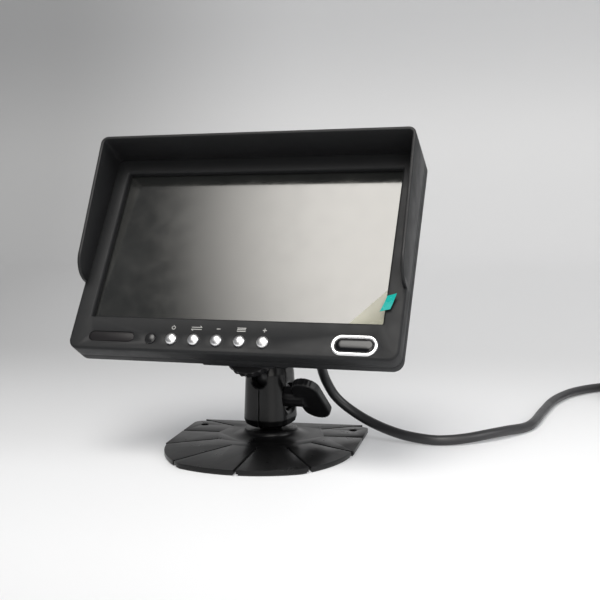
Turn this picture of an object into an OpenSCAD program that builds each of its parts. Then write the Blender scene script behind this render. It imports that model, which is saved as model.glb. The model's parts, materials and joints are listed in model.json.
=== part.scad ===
// Seven inch rear view monitor with sun visor, clamp arm stand and lead.
// Origin: on the base's underside, under the hub. Front is -Y, up is +Z. Millimetres.

/* [Base] */
// Width of the base plate across its straight sides
base_w = 103.5; // [96:0.5:112]
// Thickness of the base plate
base_t = 2; // [1.5:0.1:3]
// Thickness of the foam pad under the plate
pad_t = 1; // [0.5:0.1:1.5]
// Reach of the round front edge from the hub
front_r = 72.5; // [68:0.5:76]
// Width of the slots between the petals
slot_w = 1.3; // [0.8:0.1:2]
// Sideways distance from the hub to each screw hole
hole_x = 43.9; // [42:0.1:45]
// Diameter of the two screw holes
hole_d = 4.6; // [4:0.1:5]

/* [Arm] */
// Height of the lower ball's centre
lower_ball_z = 13.5; // [13.3:0.1:13.7]
// Height of the upper ball's centre
upper_ball_z = 37; // [36.8:0.1:37.4]
// Diameter of both balls
ball_d = 17; // [16:0.1:17]
// Turn of the arm about the vertical, seen from above
arm_turn = -12.5; // [-12.5:0.1:-5]
// Turn of the wing knob about its own axis
knob_turn = 48; // [0:1:90]

/* [Monitor] */
// Width of the case
case_w = 175; // [174:0.5:178]
// Height of the viewing window
window_h = 87.6; // [86:0.1:88]
// Width of the viewing window
window_w = 156; // [154:0.1:157]
// Lean of the screen back from upright
screen_tilt = 32.5; // [20:0.5:45]
// Turn of the monitor about the vertical, seen from above
head_turn = -5.5; // [-9.8:0.1:-5.5]

/* [Visor] */
// How far the visor stands out at its top edge
visor_top_d = 21.2; // [17:0.1:26]
// How far the visor stands out above its rounded lower end
visor_low_d = 13.6; // [12:0.1:17]
// Thickness of the visor's walls
visor_t = 1.8; // [1.4:0.1:1.8]

/* [Lead] */
// Diameter of the lead
lead_d = 5.5; // [5:0.1:6]

/* [Hidden] */
$fn = 48;
gap = 0.05;

// Base: the plate's levels and the hub that flares up out of it
pad_top = pad_t;
plate_top = pad_t + base_t;
slot_r = 30.7;
slot_step = 30;
side_r = 57;
side_centre = [5.7, -22.1];
back_y = 28;
corner_y = 24;
corner_r = 5;
hole_y = 15.3;
hub_r = 22.5;
collar_r = 14.8;
collar_top = plate_top + 4.2;
spigot_r = 3.5;
screw_r = 2.5;
screw_head_r = 5.5;

// Arm: a tapered bar in two halves, with a socket at each end
seam = 0.2;
arm_low = 8.6;
arm_high = 45.5;
knob_z = (lower_ball_z + upper_ball_z) / 2;
ball_r = ball_d / 2;
neck_r = 2.6;
notch_r = 4.5;
notch_z = 36.3;
spot_face = 9;
dish_r = 12;
nut_r = 4.62;
nut_t = 4;
nut_face = 8.9;
washer_t = 1.1;
stem_r = 5.2;
wing_at = 25.3;
wing_len = 35.5;
wing_w = 15.6;
wing_t = 5;

// Head: the stud's frame has the upper ball at its origin and the monitor at -Y
ball_depth = 68;
ball_drop = 45.8;
disc_near = 30;
disc_far = 35;
disc_boss = 36.95;
disc_r = 14.4;
shank_r = 2.5;
slot_half = 3.2;
shank_end = 41.4;
plate_w = 36;
plate_far = 41.55;
plate_near = 38.65;

// Monitor: its frame has the window's centre on the front face at its origin, depth along +Y
case_top = 54.3;
case_low = -62.5;
low_r = 5.5;
top_r = 4;
bezel_d = 9;
rim_d = 16;
bulge_d = 26;
front_t = 2;
glass_y = 3.6;
glass_t = 1.2;
panel_back = 9.8;
collar_w = 2.5;
wall_t = 2.2;
visor_seat = 6;
visor_low = -24.4;
visor_arc = 12;
inner_x = 83.4;
inner_top = 50.2;
inner_low = -60.3;
housing_x = 24;
housing_low = -57;
housing_top = -27;
housing_d = 31;
pocket_d0 = 26.4;
pocket_d1 = 29.4;
pocket_top = -31.4;
row_z = -55.7;
button_r = 3.05;
button_pitch = 12.25;
button_x0 = -29.5;
key_board_y = 9;
ir_at = [-63.4, -55.2];
ir_size = [25.6, 5.4];
sensor_x = -41.1;
sensor_r = 2.95;
badge_at = [65.6, -55.6];
badge_size = [23.2, 10.7];
badge_rim = 2;
film_t = 0.13;
film_inset = 0.4;
crease_x = 60.8;
crease_z = -25.7;
flap_lift = 32;
tab_at = [79.5, -0.9, -34.3];
tab_size = [9, 5, 0.2];
tab_turn = -69;
frame_screw_x = 58;
frame_screw_z = [30, -40];
boot_at = [30, -38];
boot_end = 50;

// Lead: where it lies, its coil beyond the right-hand side, and its connector
lead_r = lead_d / 2;
lie = lead_r + 0.15;
lead_route = [[28.8, -13.6, 53.1], [29.4, -7.4, 49.1], [28.3, 5.1, 40.3], [29.6, 12.1, 31.2],
    [34.5, 15.6, 21.6], [44, 16.3, 13.6], [56.8, 12.7, 7.7], [72, 6.2, 4.2], [87.6, 1.9, lie],
    [98.2, 2.5, lie], [108.5, 6.4, 3.5], [118.8, 13.8, 4.1], [129.2, 24.9, 3.9],
    [137.8, 36.6, lie], [143.3, 48.9, lie], [149.4, 80.4, lie], [156, 109.5, lie],
    [165.4, 132.7, 3], [176.2, 147.7, 3], [188.1, 158.6, lie], [200, 167, lie],
    [211.7, 174.2, 3.7]];
coil_at = [228, 146];
coil_low = 0.9;
coil_in_r = 27;
coil_out_r = coil_in_r + lead_d + 0.1;
tail_route = [[260.6, 146, 9.2], [261.2, 136, 9], [261.6, 127, 9], [261.7, 118, 9],
    [261.7, 110, 9]];
tail_end = [261.7, 110, 9];
tie_angle = 215;

// ---- shared shapes ----
module on_arm() rotate([0, 0, arm_turn]) children();

module on_knob() on_arm() translate([0, 0, knob_z]) rotate([0, 90, 0]) children();

module on_stud() translate([0, 0, upper_ball_z]) rotate([0, 0, head_turn])
    rotate([-screen_tilt, 0, 0]) children();

module on_monitor() on_stud() translate([0, -ball_depth, ball_drop]) children();

module ycyl(r, y0, y1) translate([0, y0, 0]) rotate([-90, 0, 0]) cylinder(r = r, h = y1 - y0);

module yplate(y0, y1) translate([0, y1, 0]) rotate([90, 0, 0]) linear_extrude(y1 - y0) children();

module stadium(w, h) {
    square([w - h, h], center = true);
    for (s = [-1, 1]) translate([s * (w - h) / 2, 0]) circle(d = h);
}

module panel(x, low, top, rl, rt) {
    translate([-x, low + rl]) square([2 * x, top - low - rl - rt]);
    translate([rl - x, low]) square([2 * (x - rl), rl + 1]);
    translate([rt - x, top - rt - 1]) square([2 * (x - rt), rt + 1]);
    for (s = [-1, 1]) {
        translate([s * (x - rl), low + rl]) circle(r = rl);
        translate([s * (x - rt), top - rt]) circle(r = rt);
    }
}

module case_outline() panel(case_w / 2, case_low, case_top, low_r, top_r);

// ---- stand ----
module plate_outline(inset = 0) {
    half = base_w / 2 - inset;
    difference() {
        union() {
            intersection() {
                circle(r = front_r - inset, $fn = 96);
                translate([-half, -80]) square([2 * half, 60]);
                translate([side_centre[0], side_centre[1]]) circle(r = side_r - inset, $fn = 96);
                translate([-side_centre[0], side_centre[1]]) circle(r = side_r - inset, $fn = 96);
            }
            translate([-half, -side_r / 2]) square([2 * half, side_r / 2 + corner_y - corner_r]);
            translate([corner_r + inset - half, 0])
                square([2 * (half - corner_r - inset), corner_y - inset]);
            for (s = [-1, 1]) translate([s * (half - corner_r), corner_y - corner_r - inset])
                circle(r = corner_r);
            intersection() {
                translate([-half, 0]) square([2 * half, back_y - inset]);
                polygon([[0, 0], [60, 60 * tan(slot_step)], [60, 60], [-60, 60],
                    [-60, 60 * tan(slot_step)]]);
            }
        }
        for (a = [-120 : slot_step : 120]) rotate(a - 90) {
            translate([slot_r, -slot_w / 2 - inset]) square([60, slot_w + 2 * inset]);
            translate([slot_r, 0]) circle(r = slot_w / 2 + inset);
        }
    }
}

module flare() {
    rotate_extrude($fn = 96) polygon(concat([[0, plate_top - 1], [hub_r, plate_top - 1]],
        [for (a = [0 : 9 : 90]) [hub_r - (hub_r - collar_r) * sin(a),
            plate_top + (collar_top - plate_top - 1) * (1 - cos(a))]],
        [[collar_r, collar_top - 0.6], [collar_r - 0.6, collar_top], [0, collar_top]]));
}

module base_plate() color("#202123") difference() {
    union() {
        translate([0, 0, pad_top]) linear_extrude(base_t) plate_outline();
        flare();
    }
    translate([0, 0, pad_top - 1]) cylinder(r = screw_head_r + 0.5, h = base_t + 1);
    cylinder(r = spigot_r + gap, h = 20);
    translate([0, 0, lower_ball_z]) sphere(r = ball_r + gap, $fn = 64);
    for (s = [-1, 1]) translate([s * hole_x, hole_y, 0]) cylinder(d = hole_d, h = 10);
}

module foam_pad() color("#2a2a2a") difference() {
    linear_extrude(pad_t) plate_outline(0.8);
    for (s = [-1, 1]) translate([s * hole_x, hole_y, -1]) cylinder(d = hole_d + 2, h = 5);
}

module base_screw() color("#8b8d90") {
    translate([0, 0, plate_top - 1.8]) cylinder(r = screw_head_r, h = 1.8);
    translate([0, 0, plate_top - 0.5]) cylinder(r = screw_r, h = 9);
}

module lower_ball() color("#262729") difference() {
    union() {
        translate([0, 0, lower_ball_z]) sphere(d = ball_d, $fn = 64);
        translate([0, 0, plate_top + gap]) cylinder(r = spigot_r, h = 4);
    }
    cylinder(r = screw_r + gap, h = plate_top + 9);
}

module arm_slab(z, x, y, r) translate([0, 0, z]) linear_extrude(0.1) {
    square([2 * (x - r), 2 * y], center = true);
    square([2 * x, 2 * (y - r)], center = true);
    for (s = [-1, 1], t = [-1, 1]) translate([s * (x - r), t * (y - r)]) circle(r = r, $fn = 32);
}

module arm_bar() hull() {
    arm_slab(arm_low, 10.4, 11.7, 8);
    arm_slab(arm_low + 2, 12.2, 13.7, 9.5);
    arm_slab(arm_low + 4.6, 12.9, 14.7, 10);
    arm_slab(arm_high - 7, 12, 13.6, 10);
    arm_slab(arm_high - 2.2, 11.4, 12.7, 9.5);
    arm_slab(arm_high - 0.1, 9.6, 10.8, 8);
}

module arm_half(side) difference() {
    intersection() {
        arm_bar();
        translate([side > 0 ? seam : -20, -20, 0]) cube([20 - seam, 40, 60]);
    }
    translate([0, 0, lower_ball_z]) sphere(r = ball_r + gap, $fn = 64);
    translate([0, 0, upper_ball_z]) sphere(r = ball_r + gap, $fn = 64);
    translate([0, 0, knob_z]) rotate([0, 90, 0]) cylinder(r = screw_r + gap, h = 60, center = true);
    translate([side * spot_face, 0, knob_z]) rotate([0, side * 90, 0]) cylinder(r = 7.3, h = 10);
    translate([side * (spot_face + dish_r), 0, knob_z]) sphere(r = dish_r, $fn = 64);
    translate([0, 0, upper_ball_z]) cylinder(r = notch_r, h = 20);
    translate([0, 0, notch_z]) rotate([90, 0, 0]) cylinder(r = notch_r, h = 30);
    translate([-notch_r, -30, notch_z]) cube([2 * notch_r, 30, 30]);
    if (side < 0) translate([-nut_face, 0, knob_z]) rotate([0, 90, 0])
        cylinder(r = nut_r + gap, h = nut_t + gap, $fn = 6);
}

module arm_half_left() color("#1f2022") on_arm() arm_half(-1);

module arm_half_right() color("#1f2022") on_arm() arm_half(1);

module clamp_nut() color("#9a9ca0") on_knob() translate([0, 0, -nut_face]) difference() {
    cylinder(r = nut_r, h = nut_t, $fn = 6);
    translate([0, 0, -1]) cylinder(r = screw_r + gap, h = nut_t + 2);
}

module knob_washer() color("#262729") on_knob() translate([0, 0, spot_face]) difference() {
    cylinder(r = 6.8, h = washer_t);
    translate([0, 0, -1]) cylinder(r = screw_r + gap, h = washer_t + 2);
}

module wing_knob() color("#1b1b1d") on_knob() rotate(knob_turn) {
    translate([0, 0, spot_face + washer_t + gap]) cylinder(r = stem_r, h = 11);
    translate([0, wing_t / 2, wing_at]) rotate([90, 0, 0]) linear_extrude(wing_t)
        stadium(wing_len, wing_w);
}

module clamp_stud() color("#a3a5a8") on_knob() translate([0, 0, -nut_face])
    cylinder(r = screw_r, h = nut_face + 17);

module upper_ball() color("#262729") on_stud() {
    sphere(d = ball_d, $fn = 64);
    ycyl(neck_r, -disc_near + gap, 0);
    ycyl(shank_r, -shank_end, 0);
}

module lock_disc() color("#1c1c1e") on_stud() difference() {
    union() {
        ycyl(disc_r, -disc_far, -disc_near);
        ycyl(9, -disc_boss + gap, -disc_near);
    }
    ycyl(shank_r + gap, -60, 0);
    for (a = [0 : 15 : 345]) rotate([0, a, 0]) translate([disc_r + 0.35, 0, 0])
        ycyl(0.9, -disc_far - 1, -disc_near + 1);
}

module slide_plate() color("#2c2d30") on_stud() difference() {
    yplate(-plate_far, -plate_near) translate([-plate_w / 2, ball_drop - 57.3])
        square([plate_w, 25.6]);
    ycyl(shank_r + gap, -60, 0);
}

// ---- monitor ----
module rear_cover() color("#1d1e20") on_monitor() difference() {
    union() {
        yplate(bezel_d, rim_d) case_outline();
        rear_slope(0);
    }
    yplate(0, rim_d - 2) panel(case_w / 2 - wall_t, case_low + wall_t, case_top - wall_t, 5, 2);
    hull() {
        yplate(rim_d - 2.1, rim_d - 2) panel(79, -54, 46, 6, 4);
        yplate(bulge_d - 2.1, bulge_d - 2) panel(63, -44, 34, 8, 8);
    }
    for (s = [-1, 1], z = frame_screw_z) translate([s * frame_screw_x, 0, z]) ycyl(1.6, 0, 40);
    for (x = [-40 : 5 : 40], z = [12, 24]) translate([x, 20, z - 4]) cube([2, 20, 8]);
    translate([boot_at[0], 0, boot_at[1]]) ycyl(3.6, 10, 40);
}

module rear_slope(grow) hull() {
    yplate(rim_d - 0.1, rim_d) panel(83 + grow, -58 - grow, 50 + grow, 8, 6);
    yplate(bulge_d - 0.1, bulge_d + grow) panel(66 + grow, -47 - grow, 37 + grow, 10, 10);
}

module rail_housing() color("#1d1e20") on_monitor() difference() {
    yplate(rim_d + gap, housing_d) translate([-housing_x, housing_low])
        square([2 * housing_x, housing_top - housing_low]);
    rear_slope(gap);
    yplate(pocket_d0, pocket_d1) translate([-plate_w / 2 - gap, -70])
        square([plate_w + 2 * gap, 70 + pocket_top]);
    yplate(pocket_d1 - 1, housing_d + 1) translate([-slot_half, -70])
        square([2 * slot_half, 70 - ball_drop]);
    translate([0, 0, -ball_drop]) ycyl(slot_half, pocket_d1 - 1, housing_d + 1);
}

module bezel_outline() {
    intersection() {
        case_outline();
        translate([-100, -80]) square([200, 80 + visor_low - gap]);
    }
    panel(case_w / 2 - visor_t - gap, case_low + 3, case_top - visor_t - gap, 3, 2.5);
}

module front_bezel() color("#1f2022") on_monitor() difference() {
    union() {
        yplate(visor_seat + gap, bezel_d) case_outline();
        yplate(0, bezel_d) bezel_outline();
    }
    difference() {
        yplate(front_t, bezel_d + 1) panel(inner_x, inner_low, inner_top, 3, 2);
        yplate(front_t - 1, glass_y - gap)
            square([window_w + 2 * collar_w, window_h + 2 * collar_w], center = true);
    }
    yplate(-1, bezel_d) square([window_w, window_h], center = true);
    for (i = [0 : 4]) translate([button_x0 + i * button_pitch, 0, row_z])
        ycyl(button_r + gap, -1, bezel_d);
    translate([sensor_x, 0, row_z]) ycyl(sensor_r + gap, -1, bezel_d);
    yplate(-1, bezel_d) translate(ir_at) stadium(ir_size[0] + 2 * gap, ir_size[1] + 2 * gap);
}

module visor_side() polygon(concat(
    [[visor_seat, case_top], [-visor_top_d, case_top]],
    [for (a = [180 : 10 : 270]) [visor_arc * cos(a) - visor_low_d + visor_arc,
        visor_arc * sin(a) + visor_low + visor_arc]],
    [[visor_seat, visor_low]]));

module sun_visor() color("#222325") on_monitor() difference() {
    intersection() {
        yplate(-visor_top_d, visor_seat) case_outline();
        rotate([90, 0, 90]) linear_extrude(case_w + 10, center = true) visor_side();
    }
    yplate(-visor_top_d - 1, visor_seat + 1)
        panel(case_w / 2 - visor_t, -100, case_top - visor_t, 2, 2.4);
}

module lcd_panel() color("#8f9296") on_monitor() difference() {
    yplate(glass_y + glass_t + gap, panel_back) square([165, 98.6], center = true);
    yplate(glass_y, glass_y + glass_t + 0.3) square([154.6, 86.6], center = true);
}

module lcd_glass() color("#3a3a38") on_monitor()
    yplate(glass_y, glass_y + glass_t) square([163, 96.5], center = true);

module screen_film() color("#b9b5ab") on_monitor() {
    half_w = window_w / 2 - film_inset;
    half_h = window_h / 2 - film_inset;
    far = [half_w - crease_x, crease_z + half_h];
    yplate(glass_y - film_t, glass_y) polygon([[-half_w, -half_h], [crease_x, -half_h],
        [half_w, crease_z], [half_w, half_h], [-half_w, half_h]]);
    translate([crease_x, glass_y - film_t - 0.08, -half_h])
        rotate([0, -atan2(far[1], far[0]), 0]) rotate([-flap_lift, 0, 0]) yplate(0, film_t)
        polygon([[0, 0.2], [norm(far), 0.2], [norm(far), 0], [far[0] * far[0] / norm(far),
            -far[0] * far[1] / norm(far)], [0, 0]]);
}

module film_tab() color("#1fb8b0") on_monitor()
    translate(tab_at) rotate([0, tab_turn, 0]) yplate(0, tab_size[2])
    translate([-tab_size[0] / 2, -tab_size[1] / 2]) square([tab_size[0], tab_size[1]]);

module panel_frame() color("#9da0a3") on_monitor() difference() {
    union() {
        yplate(panel_back + gap, panel_back + 0.85) square([165, 98.6], center = true);
        for (s = [-1, 1], z = frame_screw_z) translate([s * frame_screw_x, 0, z])
            ycyl(3.5, panel_back + gap, 13.4);
    }
    yplate(9, 11) square([100, 50], center = true);
    for (s = [-1, 1], z = frame_screw_z) translate([s * frame_screw_x, 0, z]) ycyl(1.25, 10.9, 14);
}

module main_board() color("#1f5a3a") on_monitor() {
    yplate(15, 16.6) translate([-55, -38]) square([110, 68]);
    yplate(12, 15.1) translate([-30, -10]) square([24, 24]);
    yplate(11.5, 15.1) translate([10, -20]) square([12, 12]);
    yplate(11, 15.1) translate([26, -36]) square([20, 7]);
    translate([38, 0, 14]) ycyl(4, 10.4, 15.1);
}

module key_board() color("#1f5a3a") on_monitor() {
    yplate(key_board_y, key_board_y + 1.2) translate([-46, -59.8]) square([76, 8.6]);
    for (i = [0 : 4]) translate([button_x0 + i * button_pitch, 0, row_z]) {
        yplate(5.8, key_board_y + 0.1) square([6, 6], center = true);
        ycyl(1.7, 5.4, 6);
    }
}

module button(i) on_monitor() translate([button_x0 + i * button_pitch, 0, row_z]) {
    intersection() {
        ycyl(button_r, -3, 2.3);
        translate([0, 1.95, 0]) sphere(r = 4.1, $fn = 64);
    }
    ycyl(button_r, 0, 2.3);
    ycyl(4, 2.15, 3.1);
    ycyl(1.6, 3, 4.5);
}

module button_power() color("#d4d6d8") button(0);

module button_input() color("#d4d6d8") button(1);

module button_minus() color("#d4d6d8") button(2);

module button_menu() color("#d4d6d8") button(3);

module button_plus() color("#d4d6d8") button(4);

module ir_window() color("#141214") on_monitor() {
    yplate(0.25, 2.4) translate(ir_at) stadium(ir_size[0], ir_size[1]);
    yplate(front_t + 0.05, 3.2) translate(ir_at) stadium(ir_size[0] + 2.4, ir_size[1] + 1.4);
}

module light_sensor() color("#191919") on_monitor() translate([sensor_x, 0, row_z]) {
    intersection() {
        ycyl(sensor_r, -2, 3);
        translate([0, 3.9, 0]) sphere(r = 5.1, $fn = 64);
    }
    ycyl(sensor_r + 0.8, front_t + 0.05, 3.2);
}

module badge_ring() color("#d9dadc") on_monitor() yplate(-0.9, 0) translate(badge_at)
    difference() {
        stadium(badge_size[0], badge_size[1]);
        stadium(badge_size[0] - 2 * badge_rim, badge_size[1] - 2 * badge_rim);
    }

module badge_insert() color("#17181a") on_monitor() yplate(-0.8, 0) translate(badge_at)
    stadium(badge_size[0] - 2 * badge_rim - 2 * gap, badge_size[1] - 2 * badge_rim - 2 * gap);

module case_screws() color("#2e2f31") on_monitor() for (s = [-1, 1], z = frame_screw_z)
    translate([s * frame_screw_x, 0, z]) {
        ycyl(1.2, 11.1, bulge_d + gap);
        ycyl(2.6, bulge_d + gap, bulge_d + 1.25);
    }

module lead_boot() color("#1a1a1c") on_monitor() translate([boot_at[0], 0, boot_at[1]])
    difference() {
        union() {
            translate([0, bulge_d + gap, 0]) rotate([-90, 0, 0])
                cylinder(r1 = 5.4, r2 = 3.7, h = boot_end - bulge_d - gap, $fn = 40);
            ycyl(3.5, 21, bulge_d + 1);
        }
        ycyl(lead_r - 0.4, 20, boot_end - 6);
    }

// ---- lead ----
function mix(a, b, t) = a + (b - a) * t;
function curve(p0, p1, p2, p3, t) = 0.5 * (2 * p1 + (p2 - p0) * t
    + (2 * p0 - 5 * p1 + 4 * p2 - p3) * t * t + (3 * p1 - p0 - 3 * p2 + p3) * t * t * t);
function at(p, i) = p[max(0, min(len(p) - 1, i))];
function smooth(p, n) = concat([for (i = [0 : len(p) - 2], k = [0 : n - 1])
    curve(at(p, i - 1), p[i], p[i + 1], at(p, i + 2), k / n)], [p[len(p) - 1]]);
function unit(v) = v / norm(v);
function ring(c, d, r, sides) = let (u = unit(cross(d, [0, 0, 1])), v = cross(u, d))
    [for (k = [0 : sides - 1]) c + r * (u * cos(k * 360 / sides) + v * sin(k * 360 / sides))];

module tube(route, n, r, sides = 8) {
    p = smooth(route, n);
    m = len(p);
    pts = [for (i = [0 : m - 1]) each ring(p[i], unit(at(p, i + 1) - at(p, i - 1)), r, sides)];
    polyhedron(pts, concat([[for (k = [0 : sides - 1]) k]],
        [for (i = [0 : m - 2], k = [0 : sides - 1]) [i * sides + k, (i + 1) * sides + k,
            (i + 1) * sides + (k + 1) % sides, i * sides + (k + 1) % sides]],
        [[for (k = [0 : sides - 1]) m * sides - 1 - k]]));
}

module lead_run() color("#242527") tube(lead_route, 2, lead_r);

module lead_tail() color("#242527") tube(tail_route, 2, lead_r);

module lead_coil() color("#242527") translate([coil_at[0], coil_at[1], 0])
    rotate_extrude($fn = 72) translate([coil_in_r - lead_r, coil_low])
    square([coil_out_r - coil_in_r + lead_d, 2 * lead_d + 0.1]);

module coil_tie() color("#333436") translate([coil_at[0], coil_at[1], 0]) rotate(tie_angle)
    translate([(coil_in_r + coil_out_r) / 2, 0, coil_low + lead_d + 0.05]) rotate([90, 0, 0])
    linear_extrude(4, center = true) difference() {
        square([coil_out_r - coil_in_r + lead_d + 1.8, 2 * lead_d + 1.7], center = true);
        square([coil_out_r - coil_in_r + lead_d + 0.24, 2 * lead_d + 0.14], center = true);
    }

module on_connector() translate(tail_end - [0, gap, 0]) rotate([90, 0, 0]) children();

module connector_body() color("#1b1c1e") on_connector() difference() {
    union() {
        cylinder(r = 4.2, h = 10);
        translate([0, 0, 9]) cylinder(r = 7.2, h = 19);
        translate([0, 0, 27]) cylinder(r = 6.4, h = 15);
    }
    translate([0, 0, 30]) cylinder(r = 5.4, h = 20);
}

module connector_pins() color("#c9a648") on_connector() {
    translate([0, 0, 30 + gap]) cylinder(r = 5.2, h = 1.6);
    for (a = [0 : 45 : 315]) rotate(a) translate([3.4, 0, 31]) cylinder(r = 0.5, h = 8);
    translate([0, 0, 31]) cylinder(r = 0.5, h = 8);
}

module connector_ring() color("#b9bbbe") on_connector() translate([0, 0, 28.1]) difference() {
    cylinder(r = 8.6, h = 14.4);
    translate([0, 0, -1]) cylinder(r = 6.4 + gap, h = 20);
    for (a = [0 : 20 : 340]) rotate(a) translate([8.9, 0, 2]) cylinder(r = 0.7, h = 9);
}

base_plate();
foam_pad();
base_screw();
lower_ball();
arm_half_left();
arm_half_right();
clamp_nut();
knob_washer();
wing_knob();
clamp_stud();
upper_ball();
lock_disc();
slide_plate();
rear_cover();
rail_housing();
front_bezel();
sun_visor();
lcd_panel();
lcd_glass();
screen_film();
film_tab();
panel_frame();
main_board();
key_board();
button_power();
button_input();
button_minus();
button_menu();
button_plus();
ir_window();
light_sensor();
badge_ring();
badge_insert();
case_screws();
lead_boot();
lead_run();
lead_coil();
lead_tail();
coil_tie();
connector_body();
connector_pins();
connector_ring();
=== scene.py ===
import json
import math
from itertools import product

import bmesh
import bpy
import numpy as np
from mathutils import Matrix, Vector


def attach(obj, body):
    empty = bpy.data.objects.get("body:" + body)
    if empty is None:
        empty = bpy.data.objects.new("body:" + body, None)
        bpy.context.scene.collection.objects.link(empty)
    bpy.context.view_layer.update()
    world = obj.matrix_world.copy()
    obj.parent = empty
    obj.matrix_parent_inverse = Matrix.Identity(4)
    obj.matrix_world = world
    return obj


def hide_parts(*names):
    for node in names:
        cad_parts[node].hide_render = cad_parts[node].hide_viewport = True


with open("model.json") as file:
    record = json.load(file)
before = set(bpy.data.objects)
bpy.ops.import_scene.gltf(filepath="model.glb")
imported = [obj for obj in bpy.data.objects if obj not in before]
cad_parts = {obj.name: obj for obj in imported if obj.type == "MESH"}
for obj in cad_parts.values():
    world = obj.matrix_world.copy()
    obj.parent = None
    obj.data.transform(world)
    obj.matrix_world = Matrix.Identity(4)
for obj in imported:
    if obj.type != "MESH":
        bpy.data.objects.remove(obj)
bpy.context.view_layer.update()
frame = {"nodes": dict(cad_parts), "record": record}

MM = 0.001
# the pose shown, in degrees
HEAD_TURN = -5.5
SCREEN_TILT = 32.5
ARM_TURN = -12.5
KNOB_TURN = 48.0
# heights of the stand's centres over the table, in millimetres
LOWER_BALL_Z = 13.5
UPPER_BALL_Z = 37.0
KNOB_Z = (LOWER_BALL_Z + UPPER_BALL_Z) / 2
# the middle of the bezel's face lies this far before the upper ball and this far over it
STUD_LENGTH = 68.0
STUD_BELOW = 45.8


def turn(degrees, axis):
    return Matrix.Rotation(math.radians(degrees), 4, axis)


def shift(x, y, z):
    return Matrix.Translation((x * MM, y * MM, z * MM))


HERE = Matrix.Identity(4)
ARM = turn(ARM_TURN, "Z")
KNOB = ARM @ shift(0, 0, KNOB_Z) @ turn(90, "Y") @ turn(KNOB_TURN, "Z")
STUD = shift(0, 0, UPPER_BALL_Z) @ turn(HEAD_TURN, "Z") @ turn(-SCREEN_TILT, "X")
MON = STUD @ shift(0, -STUD_LENGTH, STUD_BELOW)

# ---------------------------------------------------------------- camera
PHOTO_SIDE = 600
scene = bpy.context.scene
cam_data = bpy.data.cameras.new("camera")
cam_data.lens = 59.33
cam_data.sensor_width = 36.0
cam_data.clip_start = 0.02
cam_data.clip_end = 30.0
cam_data.shift_y = -1 / PHOTO_SIDE
camera = bpy.data.objects.new("camera", cam_data)
camera.matrix_world = Matrix((
    (0.975426, -0.009758, 0.220111, 0.13699),
    (0.219773, 0.113856, -0.968884, -0.52461),
    (-0.015606, 0.993449, 0.113203, 0.14050),
    (0, 0, 0, 1)))
scene.collection.objects.link(camera)
scene.camera = camera


# ---------------------------------------------------------------- materials
BLOTCH = 23.0
HANDLING = 9.0


def material(name, base, rough=0.4, metal=0.0, spec=0.5, coat=0.0, coat_rough=0.1, grain=0.0,
             grain_size=0.35, wave=0.0, wave_size=4.0, rough_var=0.06, tint_var=0.12,
             spec_tint=None):
    """A procedural finish: slightly mottled colour, varied roughness and two sizes of bump.

    grain and wave are the bumps' heights and grain_size and wave_size their widths, in millimetres.
    """
    mat = bpy.data.materials.new(name)
    mat.use_nodes = True
    tree = mat.node_tree
    nodes, links = tree.nodes, tree.links
    bsdf = nodes["Principled BSDF"]
    coords = nodes.new("ShaderNodeTexCoord")

    def noise(size_mm, detail=3.0):
        tex = nodes.new("ShaderNodeTexNoise")
        tex.inputs["Scale"].default_value = 1000.0 / size_mm
        tex.inputs["Detail"].default_value = detail
        links.new(coords.outputs["Object"], tex.inputs["Vector"])
        return tex.outputs["Fac"]

    def spread(source, low, high):
        """The middle of a noise's range stretched to low..high."""
        ramp = nodes.new("ShaderNodeMapRange")
        ramp.inputs["From Min"].default_value = 0.3
        ramp.inputs["From Max"].default_value = 0.7
        ramp.inputs["To Min"].default_value = low
        ramp.inputs["To Max"].default_value = high
        links.new(source, ramp.inputs["Value"])
        return ramp.outputs["Result"]

    mix = nodes.new("ShaderNodeMix")
    mix.data_type = "RGBA"
    mix.inputs["A"].default_value = (*[c * (1 - tint_var) for c in base], 1)
    mix.inputs["B"].default_value = (*[min(1, c * (1 + tint_var)) for c in base], 1)
    links.new(spread(noise(BLOTCH, 4.0), 0, 1), mix.inputs["Factor"])
    links.new(mix.outputs["Result"], bsdf.inputs["Base Color"])
    links.new(spread(noise(HANDLING), max(0.02, rough - rough_var), min(1, rough + rough_var)),
              bsdf.inputs["Roughness"])
    bsdf.inputs["Metallic"].default_value = metal
    bsdf.inputs["Specular IOR Level"].default_value = spec
    bsdf.inputs["IOR"].default_value = 1.5
    bsdf.inputs["Coat Weight"].default_value = coat
    bsdf.inputs["Coat Roughness"].default_value = coat_rough
    if spec_tint:
        bsdf.inputs["Specular Tint"].default_value = (*spec_tint, 1)
    normal = None
    for size, height in ((wave_size, wave), (grain_size, grain)):
        if height:
            bump = nodes.new("ShaderNodeBump")
            bump.inputs["Strength"].default_value = 1.0
            bump.inputs["Distance"].default_value = height * MM
            links.new(noise(size, 2.0), bump.inputs["Height"])
            if normal:
                links.new(normal, bump.inputs["Normal"])
            normal = bump.outputs["Normal"]
    if normal:
        links.new(normal, bsdf.inputs["Normal"])
    return mat


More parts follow.
